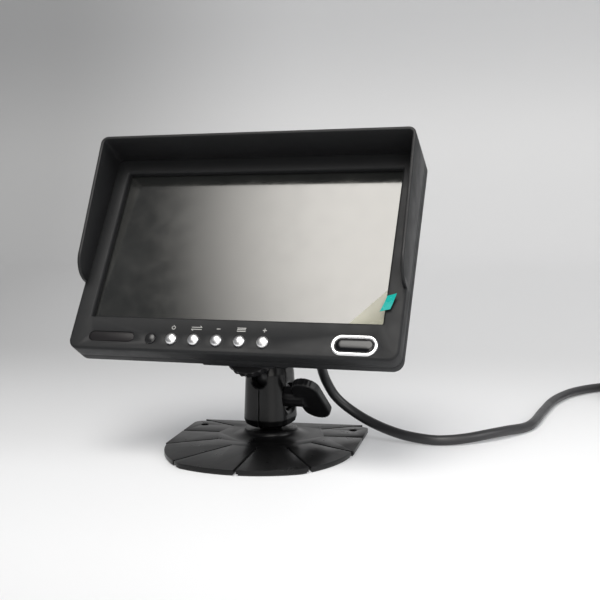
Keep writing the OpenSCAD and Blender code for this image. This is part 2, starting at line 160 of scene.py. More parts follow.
MAT = {
    "stand_metal": material("stand_metal", (0.004, 0.004, 0.0043), 0.30, spec=0.26, grain=0.004,
                            grain_size=0.5, wave=0.008, wave_size=5, rough_var=0.03),
    "arm_metal": material("arm_metal", (0.0035, 0.0035, 0.0038), 0.24, spec=0.34, grain=0.004,
                          grain_size=0.5, wave=0.006, wave_size=6, rough_var=0.03),
    "foam": material("foam", (0.03, 0.03, 0.03), 0.9, grain=0.12, grain_size=0.5),
    "zinc_steel": material("zinc_steel", (0.62, 0.62, 0.63), 0.28, 1.0, grain=0.004),
    "ball_metal": material("ball_metal", (0.02, 0.02, 0.022), 0.32, grain=0.004),
    "black_plastic": material("black_plastic", (0.009, 0.009, 0.010), 0.45, grain=0.012),
    "case_plastic": material("case_plastic", (0.013, 0.0135, 0.0145), 0.52, spec=0.23, grain=0.016,
                             grain_size=0.28, tint_var=0.04),
    "visor_plastic": material("visor_plastic", (0.010, 0.0103, 0.0112), 0.50, spec=0.35, grain=0.02,
                              grain_size=0.3, tint_var=0.04),
    "gloss_black": material("gloss_black", (0.004, 0.004, 0.005), 0.10, spec=0.35),
    "ir_plastic": material("ir_plastic", (0.010, 0.009, 0.010), 0.40, spec=0.18, tint_var=0.02),
    "sensor_plastic": material("sensor_plastic", (0.012, 0.012, 0.013), 0.28, spec=0.4),
    "screen_glass": material("screen_glass", (0.012, 0.012, 0.012), 0.05),
    "film": material("film", (0.0125, 0.0133, 0.013), 0.12, rough_var=0.04, wave=0.003, wave_size=9,
                     spec=0.6, coat=0.8, coat_rough=0.06, spec_tint=(1, 0.98, 0.94)),
    # the lifted corner of the clear film, coloured pale beige as a painted reflection of the bright
    # surround
    "film_flap_painted_reflection": material("film_flap_painted_reflection", (0.27, 0.265, 0.20), 0.25, rough_var=0.05),
    "teal_film": material("teal_film", (0.001, 0.36, 0.32), 0.28, coat=0.5),
    "panel_steel": material("panel_steel", (0.6, 0.6, 0.61), 0.35, 1.0),
    "board": material("board", (0.02, 0.13, 0.06), 0.4),
    "chrome_plastic": material("chrome_plastic", (0.94, 0.94, 0.95), 0.34, 1.0, rough_var=0.03),
    "legend": material("legend", (0.42, 0.42, 0.41), 0.5),
    "lead_pvc": material("lead_pvc", (0.024, 0.024, 0.026), 0.42, grain=0.01, grain_size=0.6,
                         wave=0.02, wave_size=3),
    "gold": material("gold", (0.78, 0.58, 0.25), 0.25, 1.0),
}
slots = {part["node"]: part["material_slot"] for part in frame["record"]["subparts"]}
for node in frame["nodes"]:
    data = bpy.data.objects[node].data
    data.materials.clear()
    data.materials.append(MAT[slots[node]])


# ---------------------------------------------------------------- mesh helpers
def loft(rings, closed=False):
    """Faces between rings of the same number of points, capped, or closed on themselves."""
    n = len(rings[0])
    faces = []
    count = len(rings)
    for i in range(count if closed else count - 1):
        a, b = i * n, ((i + 1) % count) * n
        faces += [(a + k, a + (k + 1) % n, b + (k + 1) % n, b + k) for k in range(n)]
    if not closed:
        faces.append(tuple(range(n - 1, -1, -1)))
        faces.append(tuple((count - 1) * n + k for k in range(n)))
    return np.concatenate(rings), faces


def join(*parts):
    """Several (verts, faces) pairs as one."""
    verts, faces, base = [], [], 0
    for v, f in parts:
        verts.append(np.asarray(v, float))
        faces += [tuple(i + base for i in face) for face in f]
        base += len(v)
    return np.concatenate(verts), faces


def make_mesh(name, part, M=HERE):
    """A mesh in metres from (verts, faces) in millimetres, placed by M."""
    verts, faces = part
    me = bpy.data.meshes.new(name)
    me.from_pydata([M @ (Vector(v) * MM) for v in verts], [], faces)
    me.update()
    bm = bmesh.new()
    bm.from_mesh(me)
    bmesh.ops.recalc_face_normals(bm, faces=bm.faces)
    bm.to_mesh(me)
    bm.free()
    return me


def soften(me, width, segments, limit, clean):
    """Rounded edges: a narrow bevel, in millimetres, on every edge sharper than the limit."""
    bm = bmesh.new()
    bm.from_mesh(me)
    bmesh.ops.remove_doubles(bm, verts=bm.verts, dist=2e-6)
    if clean:
        bmesh.ops.dissolve_limit(bm, angle_limit=math.radians(1.0), verts=bm.verts, edges=bm.edges)
    edges = [e for e in bm.edges if len(e.link_faces) == 2
             and e.calc_face_angle(0) > math.radians(limit)]
    if edges:
        bmesh.ops.bevel(bm, geom=edges, offset=width * MM, segments=segments, profile=0.5,
                        affect="EDGES", clamp_overlap=True)
    bm.to_mesh(me)
    bm.free()
    return me


def finish_piece(me, name, mat, body, nodes, smooth):
    """A visible piece: shaded, riding on its body and standing in for its nodes."""
    obj = bpy.data.objects.new(name, me)
    scene.collection.objects.link(obj)
    me.materials.clear()
    me.materials.append(MAT[mat])
    for poly in me.polygons:
        poly.use_smooth = True
    me.set_sharp_from_angle(angle=math.radians(smooth))
    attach(obj, body)
    if nodes:
        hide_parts(*nodes)
    return obj


def piece(name, part, mat, body, M=HERE, nodes=(), bevel=0.0, limit=30, smooth=35,
          clean=False, cutters=()):
    """A piece built here: cut out and softened where asked, then finished."""
    me = make_mesh(name + "_mesh", part, M)
    if cutters:
        me = carve(me, [make_mesh("cutter", c, M) for c in cutters])
    if bevel:
        soften(me, bevel, 2, limit, clean)
    return finish_piece(me, name, mat, body, nodes, smooth)


def carve(me, cutter_meshes):
    """The mesh with other closed meshes cut out of it."""
    host = bpy.data.objects.new("host", me)
    scene.collection.objects.link(host)
    tools = []
    for cutter in cutter_meshes:
        tool = bpy.data.objects.new("tool", cutter)
        scene.collection.objects.link(tool)
        mod = host.modifiers.new("cut", "BOOLEAN")
        mod.operation = "DIFFERENCE"
        mod.solver = "EXACT"
        mod.object = tool
        tools.append(tool)
    bpy.context.view_layer.update()
    graph = bpy.context.evaluated_depsgraph_get()
    result = bpy.data.meshes.new_from_object(host.evaluated_get(graph))
    for o in [host] + tools:
        bpy.data.objects.remove(o)
    return result


def refined(node, name, mat, body, bevel, segments, limit):
    """A CAD node's shape with its edges rounded."""
    me = bpy.data.objects[node].data.copy()
    soften(me, bevel, segments, limit, True)
    return finish_piece(me, name, mat, body, (node,), 35)


def rounded(x, low, top, r_low, r_top, inset=0.0, k=8):
    """A loop of points round a rectangle with rounded corners, anticlockwise from the right."""
    loop = []
    corners = ((x, top, r_top, 0), (-x, top, r_top, 90),
               (-x, low, r_low, 180), (x, low, r_low, 270))
    for cx, cz, r, start in corners:
        r = max(r - inset, 0.05)
        sx, sz = math.copysign(1, cx), 1 if start < 180 else -1
        px, pz = cx - sx * (inset + r), cz - sz * (inset + r)
        for i in range(k + 1):
            a = math.radians(start + 90 * i / k)
            loop.append((px + r * math.cos(a), pz + r * math.sin(a)))
    return np.array(loop)


def at_depth(loop, y):
    """A flat loop stood up in the head's frame, at depth y."""
    return np.column_stack([loop[:, 0], np.full(len(loop), float(y)), loop[:, 1]])


def circle(r, n, cx, cz):
    a = np.arange(n) * 2 * math.pi / n
    return np.column_stack([cx + r * np.cos(a), cz + r * np.sin(a)])


def oval(w, h, cx, cz, k=16):
    """A stadium: a straight bar with half-round ends."""
    r = h / 2
    loop = [(cx + s * (w / 2 - r) + r * math.cos(math.radians(a0 + 180 * i / k)),
             cz + r * math.sin(math.radians(a0 + 180 * i / k)))
            for s, a0 in ((1, -90), (-1, 90)) for i in range(k + 1)]
    return np.array(loop)


def tower(steps, shape):
    """Stacked loops: steps are (size, depth) pairs and shape turns a size into a loop."""
    return loft([at_depth(shape(size), y) for size, y in steps])


def prism(loop, y0, y1):
    """A flat loop carried straight from depth y0 to depth y1."""
    return loft([at_depth(loop, y0), at_depth(loop, y1)])


def box_part(x0, x1, y0, y1, z0, z1):
    return prism(np.array([(x1, z1), (x0, z1), (x0, z0), (x1, z0)], float), y0, y1)


def sheet(front, columns, thickness):
    """A grid of points, given row by row, with a thickness added away from the viewer."""
    count, rows = len(front), len(front) // columns
    faces = []
    for i in range(rows - 1):
        for k in range(columns - 1):
            at = i * columns + k
            quad = (at, at + 1, at + columns + 1, at + columns)
            faces += [quad, tuple(j + count for j in quad[::-1])]
    edge = list(range(columns)) + [i * columns + columns - 1 for i in range(1, rows)]
    edge += [(rows - 1) * columns + k for k in range(columns - 2, -1, -1)]
    edge += [i * columns for i in range(rows - 2, 0, -1)]
    faces += [(q, p, p + count, q + count) for p, q in zip(edge, edge[1:] + edge[:1])]
    return np.concatenate([front, front + (0, thickness, 0)]), faces


def surface_nets(f, lo, hi, h):
    """The surface where f crosses zero on a grid of step h, as smooth quads."""
    lo = np.array(lo, float)
    n = np.ceil((np.array(hi, float) - lo) / h).astype(int) + 1
    grid = np.meshgrid(*[lo[i] + h * np.arange(n[i]) for i in range(3)], indexing="ij")
    v = f(*grid)
    inside = v < 0
    m = n - 1

    def corner(arr, d):
        return arr[d[0]:d[0] + m[0], d[1]:d[1] + m[1], d[2]:d[2] + m[2]]

    acc, cnt = np.zeros((*m, 3)), np.zeros(m)
    for axis in range(3):
        step = np.eye(3, dtype=int)[axis]
        others = [i for i in range(3) if i != axis]
        for p, q in product((0, 1), repeat=2):
            off = np.zeros(3, int)
            off[others[0]], off[others[1]] = p, q
            a, b = corner(v, off), corner(v, off + step)
            cross = (a < 0) != (b < 0)
            t = np.where(cross, a / np.where(cross, a - b, 1), 0)
            acc += np.where(cross[..., None], off + t[..., None] * step, 0)
            cnt += cross
    active = cnt > 0
    index = -np.ones(m, int)
    index[active] = np.arange(active.sum())
    cells = np.argwhere(active)
    verts = lo + h * (cells + acc[active] / cnt[active][:, None])
    faces = []
    for axis in range(3):
        b, c = [i for i in range(3) if i != axis]
        if axis == 1:
            b, c = c, b
        s0 = [slice(1, -1)] * 3
        s1 = [slice(1, -1)] * 3
        s0[axis], s1[axis] = slice(0, -1), slice(1, None)
        x0, x1 = inside[tuple(s0)], inside[tuple(s1)]
        change = np.argwhere(x0 != x1)
        flip = x0[x0 != x1]
        base = change.copy()
        for o in (b, c):
            base[:, o] += 1

        def cell(db, dc):
            p = base.copy()
            p[:, b] -= db
            p[:, c] -= dc
            return index[p[:, 0], p[:, 1], p[:, 2]]

        quad = np.column_stack([cell(0, 0), cell(1, 0), cell(1, 1), cell(0, 1)])
        quad[~flip] = quad[~flip][:, ::-1]
        faces.append(quad)
    return verts, [tuple(int(i) for i in q) for q in np.concatenate(faces)]


def smax(a, b, k):
    """The larger of two fields, with the corner between them rounded over k."""
    h = np.clip(0.5 + 0.5 * (a - b) / k, 0, 1)
    return b + (a - b) * h + k * h * (1 - h)


def smin(a, b, k):
    """The smaller of two fields, with the corner between them filled over k."""
    return -smax(-a, -b, k)


def rounded_end(a, b, edge):
    """Two fields taken together, with the outer corner between them rounded to a radius."""
    a, b = a + edge, b + edge
    return np.hypot(np.maximum(a, 0), np.maximum(b, 0)) + np.minimum(np.maximum(a, b), 0) - edge


# ---------------------------------------------------------------- lead
LEAD_D = 5.5
LIE = 2.9  # height of the lead's middle where it lies on the table
COIL_AT = (228.0, 146.0)
COIL_R = (32.6, 27.0)
COIL_Z = (3.68, 9.25)
LEAD_ROUTE = [(28.8, -13.6, 53.1), (29.4, -7.4, 49.1), (28.3, 5.1, 40.3), (29.6, 12.1, 31.2),
              (34.5, 15.6, 21.6), (44, 16.3, 13.6), (56.8, 12.7, 7.7), (72, 6.2, 4.2),
              (87.6, 1.9, LIE), (98.2, 2.5, LIE), (108.5, 6.4, 3.5), (118.8, 13.8, 4.1),
              (129.2, 24.9, 3.9), (137.8, 36.6, LIE), (143.3, 48.9, LIE), (149.4, 80.4, LIE),
              (156, 109.5, LIE), (165.4, 132.7, 3), (176.2, 147.7, 3), (188.1, 158.6, LIE),
              (200, 167, LIE), (211.7, 174.2, 3.7)]
TAIL_ROUTE = [(260.6, 146, 9.2), (261.2, 136, 9), (261.6, 127, 9), (261.7, 118, 9),
              (261.7, 110, 9)]


def smooth_route(points, n=6):
    """A rounded line through the points, with n steps from each to the next."""
    p = [Vector(q) for q in points]
    out = []
    for i in range(len(p) - 1):
        a, b, c, d = p[max(i - 1, 0)], p[i], p[i + 1], p[min(i + 2, len(p) - 1)]
        for k in range(n):
            t = k / n
            out.append(0.5 * (2 * b + (c - a) * t + (2 * a - 5 * b + 4 * c - d) * t * t
                              + (3 * b - a - 3 * c + d) * t ** 3))
    return out + [p[-1]]


def coil_points():
    """Three and a third turns, two high and two wide, each change of row in its own sector."""
    def ease(x):
        x = min(max(x, 0), 1)
        return x * x * (3 - 2 * x)

    out = []
    for deg in range(6, 1200, 6):
        first, second, third = [ease((deg - change) / 50) for change in (270, 570, 870)]
        r = COIL_R[0] + (COIL_R[1] - COIL_R[0]) * (first - third)
        z = COIL_Z[0] + (COIL_Z[1] - COIL_Z[0]) * second
        a = math.radians(120 - deg)
        out.append(Vector((COIL_AT[0] + r * math.cos(a), COIL_AT[1] + r * math.sin(a), z)))
    return out


lead_path = smooth_route(LEAD_ROUTE) + coil_points() + smooth_route(TAIL_ROUTE)


def line_curve(name, points, radius, mat, body):
    """A round cord along the points, as a curve."""
    data = bpy.data.curves.new(name, "CURVE")
    data.dimensions = "3D"
    data.bevel_depth = radius * MM
    data.bevel_resolution = 5
    data.use_fill_caps = True
    spline = data.splines.new("POLY")
    spline.points.add(len(points) - 1)
    for p, q in zip(spline.points, points):
        p.co = (q[0] * MM, q[1] * MM, q[2] * MM, 1)
    spline.use_smooth = True
    obj = bpy.data.objects.new(name, data)
    data.materials.append(MAT[mat])
    scene.collection.objects.link(obj)
    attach(obj, body)
    return obj


lead = line_curve("monitor_lead", lead_path, LEAD_D / 2, "lead_pvc", "base")
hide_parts("lead_run", "lead_coil", "lead_tail")

# ---------------------------------------------------------------- monitor
CASE = dict(x=87.5, low=-62.5, top=54.3, r_low=5.5, r_top=4)
WIN = dict(x=78.0, low=-43.8, top=43.8, r_low=0.6, r_top=0.6)
ROW_Z = -55.7  # the row of buttons
BUTTONS = [("power", -29.5), ("input", -17.25), ("minus", -5.0), ("menu", 7.25), ("plus", 19.5)]
SENSOR_X = -41.1
IR_AT, IR_SIZE = (-63.4, -55.2), (25.6, 5.4)
BADGE_AT, BADGE_SIZE = (65.6, -55.6), (23.2, 10.7)
BOOT_AT = (30, -38)
# depths behind the bezel's face
GLASS_Y = 3.6
PARTING_Y = 9.0
BACK_Y = 16.0
FRONT_R = 1.3
BACK_R = 2.0
WALL = 2.2
GAP = 0.05


def case_loop(inset, y):
    return at_depth(rounded(**CASE, inset=inset), y)


def win_loop(grow, y):
    return at_depth(rounded(WIN["x"] + grow, WIN["low"] - grow, WIN["top"] + grow,
                            WIN["r_low"] + grow, WIN["r_top"] + grow), y)


# front bezel: a rounded outer rim, a rounded window, the visor's seat and holes along the chin
quarter = [math.radians(a) for a in range(15, 91, 15)]
behind_window = GLASS_Y - GAP
bezel_rings = [case_loop(0, PARTING_Y), case_loop(0, FRONT_R)]
bezel_rings += [case_loop(FRONT_R * (1 - math.cos(a)), FRONT_R * (1 - math.sin(a)))
                for a in quarter]
bezel_rings += [win_loop(grow, y) for grow, y in
                ((1.1, 0), (0.75, 0.05), (0.35, 0.3), (0.1, 0.7), (0, 1.2), (0, behind_window),
                 (2.4, behind_window))]
bezel_rings += [case_loop(WALL, behind_window), case_loop(WALL, PARTING_Y)]

VISOR_LOW = -24.4
VISOR_T = 1.8
VISOR_END_R = 12.0
VISOR_KNEE = VISOR_LOW + VISOR_END_R
VISOR_DEPTH = (13.6, 21.2)  # at the knee and at the top
SEAT_Y = 6.0
SEAT_X = CASE["x"] - VISOR_T - GAP
SEAT_TOP = CASE["top"] - VISOR_T - GAP
seat_foot = VISOR_LOW - GAP
seat_side = [(SEAT_X, seat_foot), (SEAT_X, SEAT_TOP - 2.5), (SEAT_X - 0.75, SEAT_TOP - 0.75),
             (SEAT_X - 2.5, SEAT_TOP)]
seat_loop = np.array([(-95, seat_foot)] + [(-x, z) for x, z in seat_side] + seat_side[::-1]
                     + [(95, seat_foot), (95, 60), (-95, 60)])[::-1]
holes = [prism(circle(3.15, 40, x, ROW_Z), -1, 8) for _, x in BUTTONS]
holes.append(prism(circle(3.05, 40, SENSOR_X, ROW_Z), -1, 8))
holes.append(prism(oval(IR_SIZE[0] + 0.2, IR_SIZE[1] + 0.2, *IR_AT), -1, 8))
holes.append(prism(oval(BADGE_SIZE[0] + 0.1, BADGE_SIZE[1] + 0.1, *BADGE_AT), -1, 0.45))
piece("front_bezel_shell", loft(bezel_rings, closed=True), "case_plastic", "monitor", MON,
      nodes=("front_bezel",), cutters=[prism(seat_loop, -5, SEAT_Y + GAP)] + holes, bevel=0.22,
      limit=50, clean=True)


# sun visor: one bent sheet, deeper at the top, with rounded lower ends
def visor_depth(z):
    knee, top = VISOR_DEPTH
    if z >= VISOR_KNEE:
        return knee + (z - VISOR_KNEE) * (top - knee) / (CASE["top"] - VISOR_KNEE)
    drop = VISOR_KNEE - z
    return knee - VISOR_END_R + math.sqrt(max(0, VISOR_END_R ** 2 - drop ** 2))


def visor_path():
    """Points up the left side, over the top and down the right, each with its outward normal."""
    side, r = -CASE["x"], CASE["r_top"]
    cx, cz = side + r, CASE["top"] - r
    left = [(side, VISOR_LOW + VISOR_END_R * (1 - math.cos(math.radians(a))), -1, 0)
            for a in range(0, 91, 5)]
    left += [(side, z, -1, 0) for z in np.linspace(VISOR_KNEE, cz, 24)[1:]]
    corner = [(cx - r * math.cos(a), cz + r * math.sin(a), -math.cos(a), math.sin(a))
              for a in quarter]
    top = [(x, CASE["top"], 0, 1) for x in np.linspace(cx, 0, 14)[1:]]
    half = left + corner + top
    return half + [(-x, z, -nx, nz) for x, z, nx, nz in half[-2::-1]]


def visor_rings():
    """The sheet's section at each point of its path, with a rounded front edge."""
    rings = []
    for x, z, nx, nz in visor_path():
        d = visor_depth(z)
        edge = [(0.0, SEAT_Y), (0.0, -d + 0.6), (0.15, -d + 0.2), (0.5, -d), (VISOR_T - 0.5, -d),
                (VISOR_T - 0.15, -d + 0.2), (VISOR_T, -d + 0.6), (VISOR_T, SEAT_Y)]
        rings.append(np.array([(x - nx * t, y, z - nz * t) for t, y in edge]))
    return rings


piece("sun_visor_sheet", loft(visor_rings()), "visor_plastic", "visor", MON, nodes=("sun_visor",),
      bevel=0.25, limit=60, smooth=30)

# rear cover: a groove at the parting line, a rounded rim, a sloped back and two rows of vents
rim_y = BACK_Y - BACK_R
rear_rings = [case_loop(inset, PARTING_Y + y) for inset, y in
              ((WALL, 4.8), (WALL, 0), (0.45, 0), (0.45, 0.35), (0.1, 0.5), (0, 0.8), (0, 5))]
rear_rings += [case_loop(BACK_R * (1 - math.cos(a)), rim_y + BACK_R * math.sin(a)) for a in quarter]
# the bulge's outlines: half width, bottom, top, corner radius and height over the rim
slope = [(83.0, -58.0, 50.0, 8.0, 0.0), (81.5, -57, 49, 9, 1.2), (69.0, -49.0, 39.6, 10, 8.4),
         (67.4, -48, 38.3, 10, 9.3), (65.6, -46.6, 36.8, 10, 9.85), (64, -45, 35, 9, 10.0)]
rear_rings += [at_depth(rounded(x, lo, hi, r, r), BACK_Y + d) for x, lo, hi, r, d in slope]
vents = [box_part(x, x + 2, 20, 40, z - 4, z + 4) for x in range(-40, 41, 5) for z in (12, 24)]
boot_hole = prism(circle(3.6, 32, *BOOT_AT), 10, 40)
piece("rear_cover_shell", loft(rear_rings), "case_plastic", "monitor", MON, nodes=("rear_cover",),
      cutters=vents + [boot_hole], bevel=0.2, limit=50, clean=True)

# rail housing: a block with a slot for the slide plate and a narrower one for its shank
SHANK_R = 3.2
shank_slot = np.concatenate([circle(SHANK_R, 24, 0, -STUD_BELOW)[:13],
                             [(-SHANK_R, -70), (SHANK_R, -70)]])
housing = tower([(0.9, 15.8), (0.0, 17.0), (0.0, 30.0), (0.35, 30.7), (1.0, 31.0)],
                lambda i: rounded(24, -57, -27, 1.5, 5, inset=i))
piece("rail_housing_shell", housing, "case_plastic", "monitor", MON, nodes=("rail_housing",),
      cutters=[box_part(-18.05, 18.05, 26.4, 29.4, -70, -31.4), prism(shank_slot, 28, 33)],
      bevel=0.25, limit=50, clean=True)

# screen film, with one corner folded up along a crease
FILM_T = 0.13
film_x, film_z = 77.6, 43.4
crease = [(59.6, -film_z), (film_x, -24.0)]
film_loop = np.array([(-film_x, -film_z), *crease, (film_x, film_z), (-film_x, film_z)])
piece("screen_film_sheet", prism(film_loop, GLASS_Y - FILM_T, GLASS_Y), "film", "monitor", MON,
      nodes=("screen_film",), smooth=30)


def flap_part(n=10, lift=1.3):
    """The lifted corner: it curls up from the crease towards the viewer."""
    a, b, c = Vector(crease[0]), Vector(crease[1]), Vector((film_x, -film_z))
    points = []
    for i in range(n + 1):
        t = i / n
        p, q = a.lerp(c, t), b.lerp(c, t)
        y = GLASS_Y - FILM_T - 0.01 - lift * t ** 1.5
        for k in range(n + 1):
            m = p.lerp(q, k / n)
            points.append((m.x, y, m.y))
    return sheet(np.array(points), n + 1, FILM_T - 0.01)


# the folded corner wears the painted reflection colour
piece("screen_film_corner", flap_part(), "film_flap_painted_reflection", "monitor", MON, smooth=40)


def tab_part(n=8, columns=3):
    """The pull tab: a slanted strip stuck to the film's corner, curling off the bezel."""
    low = Vector((75.9, -37.9)), Vector((81.1, -36.8))
    high = Vector((79.0, -30.1)), Vector((83.6, -29.0))
    points = []
    for i in range(n + 1):
        t = i / n
        a, b = low[0].lerp(high[0], t), low[1].lerp(high[1], t)
        for k in range(columns):
            across = k / (columns - 1)
            m = a.lerp(b, across)
            points.append((m.x, -(1.0 + 0.7 * across + 1.2 * t * t), m.y))
    return sheet(np.array(points), columns, 0.2)


piece("film_pull_tab", tab_part(), "teal_film", "monitor", MON, nodes=("film_tab",), smooth=40)

# controls on the chin
def dome_steps(r, y, rise):
    """A dome of radius r, standing off depth y by a rise and ending in a small flat."""
    steps = [(r * math.cos(math.radians(a)), y - rise * math.sin(math.radians(a)))
             for a in range(10, 90, 10)]
    return steps + [(0.12, y - rise)]


def chin_tower(steps, x, n=40):
    """Round steps stacked on the row of buttons."""
    return tower(steps, lambda r: circle(r, n, x, ROW_Z))


for label, x in BUTTONS:
    cap = [(3.05, 2.3), (3.05, -0.55), (2.98, -0.75)] + dome_steps(3.0, -0.75, 1.4)
    parts = [chin_tower(cap, x), chin_tower([(4.0, 2.15), (4.0, 3.1)], x),
             chin_tower([(1.6, 3.0), (1.6, 4.5)], x, 24)]
    piece("button_" + label + "_cap", join(*parts), "chrome_plastic", "button_" + label, MON,
          nodes=("button_" + label,), smooth=50)
sensor_steps = [(3.7, 3.2), (3.7, 2.1), (2.95, 2.05), (2.95, -0.25)] + dome_steps(2.95, -0.25, 0.95)
piece("light_sensor_dome", chin_tower(sensor_steps, SENSOR_X), "sensor_plastic", "monitor", MON,
      nodes=("light_sensor",), smooth=50)


def ir_loop(grow):
    return oval(IR_SIZE[0] + 2 * grow, IR_SIZE[1] + 2 * grow, *IR_AT)


def badge_loop(grow):
    return oval(BADGE_SIZE[0] + 2 * grow, BADGE_SIZE[1] + 2 * grow, *BADGE_AT)


ir_steps = [(1.0, 3.2), (1.0, 2.1), (0.0, 2.05), (0.0, 0.35), (-0.15, 0.15), (-0.5, 0.05)]
piece("ir_window_lens", tower(ir_steps, ir_loop), "ir_plastic", "monitor", MON,
      nodes=("ir_window",), smooth=40)
ring_steps = [(0, 0.4), (0, -0.35), (-0.2, -0.7), (-0.55, -0.9), (-1.2, -0.9), (-1.6, -0.72),
              (-1.9, -0.3), (-1.9, 0.4)]
piece("badge_rim", loft([at_depth(badge_loop(grow), y) for grow, y in ring_steps], closed=True),
      "chrome_plastic", "monitor", MON, nodes=("badge_ring",), smooth=50)
insert_steps = [(-2.0, 0.4), (-2.0, -0.2), (-2.2, -0.42), (-2.7, -0.6), (-3.4, -0.72),
                (-4.2, -0.8), (-5.0, -0.84)]
piece("badge_dome", tower(insert_steps, badge_loop), "gloss_black", "monitor", MON,
      nodes=("badge_insert",), smooth=60)

# icons over the buttons, printed in relief
ICON_Z = -49.3
ICON_DEPTH = (-0.06, 0.02)


def bar(cx, cz, w, h, angle=0.0):
    """A small bar, turned by an angle."""
    a = math.radians(angle)
    loop = np.array([(w / 2, h / 2), (-w / 2, h / 2), (-w / 2, -h / 2), (w / 2, -h / 2)])
    rot = np.array([[math.cos(a), -math.sin(a)], [math.sin(a), math.cos(a)]])
    return prism(loop @ rot.T + (cx, cz), *ICON_DEPTH)


def arc_band(cx, cz, r, w, a0, a1, n=20):
    """Part of a ring of width w, from angle a0 to a1."""
    angles = np.radians(np.linspace(a0, a1, n))
    outer = np.column_stack([cx + r * np.cos(angles), cz + r * np.sin(angles)])
    inner = np.column_stack([cx + (r - w) * np.cos(angles), cz + (r - w) * np.sin(angles)])[::-1]
    return prism(np.concatenate([outer, inner]), *ICON_DEPTH)


over = dict(BUTTONS)
icons = [arc_band(over["power"], ICON_Z, 1.05, 0.3, 125, 415),
         bar(over["power"], ICON_Z + 0.85, 0.3, 1.0)]
for s in (-1, 1):
    icons.append(bar(over["input"] + 0.4, ICON_Z + 0.55 * s, 5.6, 0.32))
    icons.append(bar(over["input"] + 0.4 + 2.35 * s, ICON_Z + 0.9 * s, 1.3, 0.32, -40))
icons.append(bar(over["minus"], ICON_Z, 2.0, 0.38))
icons += [bar(over["menu"], ICON_Z + dz, 4.6, 0.36) for dz in (-0.85, 0, 0.85)]
icons += [bar(over["plus"], ICON_Z, 2.0, 0.38), bar(over["plus"], ICON_Z, 0.38, 2.0)]
piece("button_icons", join(*icons), "legend", "monitor", MON, smooth=30)

# ---------------------------------------------------------------- stand
refined("base_plate", "base_plate_body", "stand_metal", "base", 0.45, 3, 25)
refined("foam_pad", "foam_pad_body", "foam", "base", 0.2, 1, 40)

# the arm's half sizes at a few heights: widest at the lower ball and drawn in at both ends
ARM_Z = [8.6, 10.6, 13.2, 38.5, 43.3, 45.5]
ARM_X = [10.6, 12.3, 12.9, 12.0, 11.5, 10.4]
ARM_Y = [11.9, 13.8, 14.7, 13.6, 12.8, 11.7]
ARM_R = 9.9
SPLIT = 0.2
SOCKET_R = 8.55
BOLT_HOLE_R = 2.6
SPOT_R, SPOT_X = 7.3, 9.0
DISH_R = 12.0
NOTCH_R, NOTCH_Z = 4.5, 36.3
NUT_R, NUT_X, NUT_T = 4.9, 6.9, 4.0


def arm_field(side):
    """One half of the arm: a rounded, tapered bar with two sockets, a dish and a notch."""
    def f(x, y, z):
        hx, hy = np.interp(z, ARM_Z, ARM_X), np.interp(z, ARM_Z, ARM_Y)
        r = np.minimum(ARM_R, hx - 0.6)
        d = rounded_end(np.abs(x) - hx, np.abs(y) - hy, r)
        mid, half = (ARM_Z[0] + ARM_Z[-1]) / 2, (ARM_Z[-1] - ARM_Z[0]) / 2
        d = rounded_end(d, np.abs(z - mid) - half, 2.0)
        d = smax(d, SPLIT - side * x, 0.6)
        for zc in (LOWER_BALL_Z, UPPER_BALL_Z):
            d = smax(d, SOCKET_R - np.sqrt(x * x + y * y + (z - zc) ** 2), 0.4)
        bolt = np.hypot(y, z - KNOB_Z)
        d = smax(d, BOLT_HOLE_R - bolt, 0.3)
        out = side * x
        d = smax(d, -np.maximum(bolt - SPOT_R, SPOT_X - out), 0.4)
        d = smax(d, DISH_R - np.sqrt((out - SPOT_X - DISH_R) ** 2 + bolt ** 2), 0.9)
        front = np.where(z < NOTCH_Z, np.hypot(x, z - NOTCH_Z), np.abs(x))
        notch = np.maximum(front - NOTCH_R, y)
        well = np.maximum(np.hypot(x, y) - NOTCH_R, UPPER_BALL_Z - z)
        d = smax(d, -np.minimum(notch, well), 0.7)
        if side < 0:
            d = smax(d, -np.maximum(bolt - NUT_R, np.abs(out - NUT_X) - NUT_T / 2), 0.3)
        return d
    return f


for side, node in ((-1, "arm_half_left"), (1, "arm_half_right")):
    x0, x1 = (-14, 0.4) if side < 0 else (-0.4, 14)
    half = surface_nets(arm_field(side), (x0, -15.6, 7.8), (x1, 15.6, 46.4), 0.4)
    piece(node + "_body", half, "arm_metal", "arm", ARM, nodes=(node,),
          smooth=60)

# the wing knob along its own axis, from the arm's middle outwards
STEM_FROM, STEM_TO = 10.15, 22.0
STEM_R = 5.6
WING_AT = 25.3
WING_LEN, WING_W, WING_T = 35.5, 15.6, 5.0


def knob_field(x, y, z):
    """The wing knob: a fluted, slightly tapered stem and an oval paddle ribbed on its rim."""
    reach = STEM_R - 0.05 * (z - STEM_FROM)
    stem = np.hypot(x, y) - reach + 0.12 * np.cos(12 * np.arctan2(y, x))
    stem = np.maximum(np.maximum(stem, STEM_FROM - z), z - STEM_TO)
    w = z - WING_AT
    px = np.maximum(np.abs(x) - (WING_LEN - WING_W) / 2, 0)
    ribs = 0.1 * (1 + np.cos(26 * np.arctan2(w, np.abs(x) - 8.0)))
    outline = np.hypot(px, w) - WING_W / 2 + ribs * np.clip((np.abs(x) - 11) / 3, 0, 1)
    paddle = rounded_end(outline, np.abs(y) - WING_T / 2, 1.1)
    d = smin(stem, paddle, 2.2)
    return smax(d, STEM_FROM - z, 0.3)


piece("wing_knob_body", surface_nets(knob_field, (-18.4, -6.8, 9.6), (18.4, 6.8, 34), 0.33),
      "black_plastic", "knob", KNOB, nodes=("wing_knob",), smooth=60)


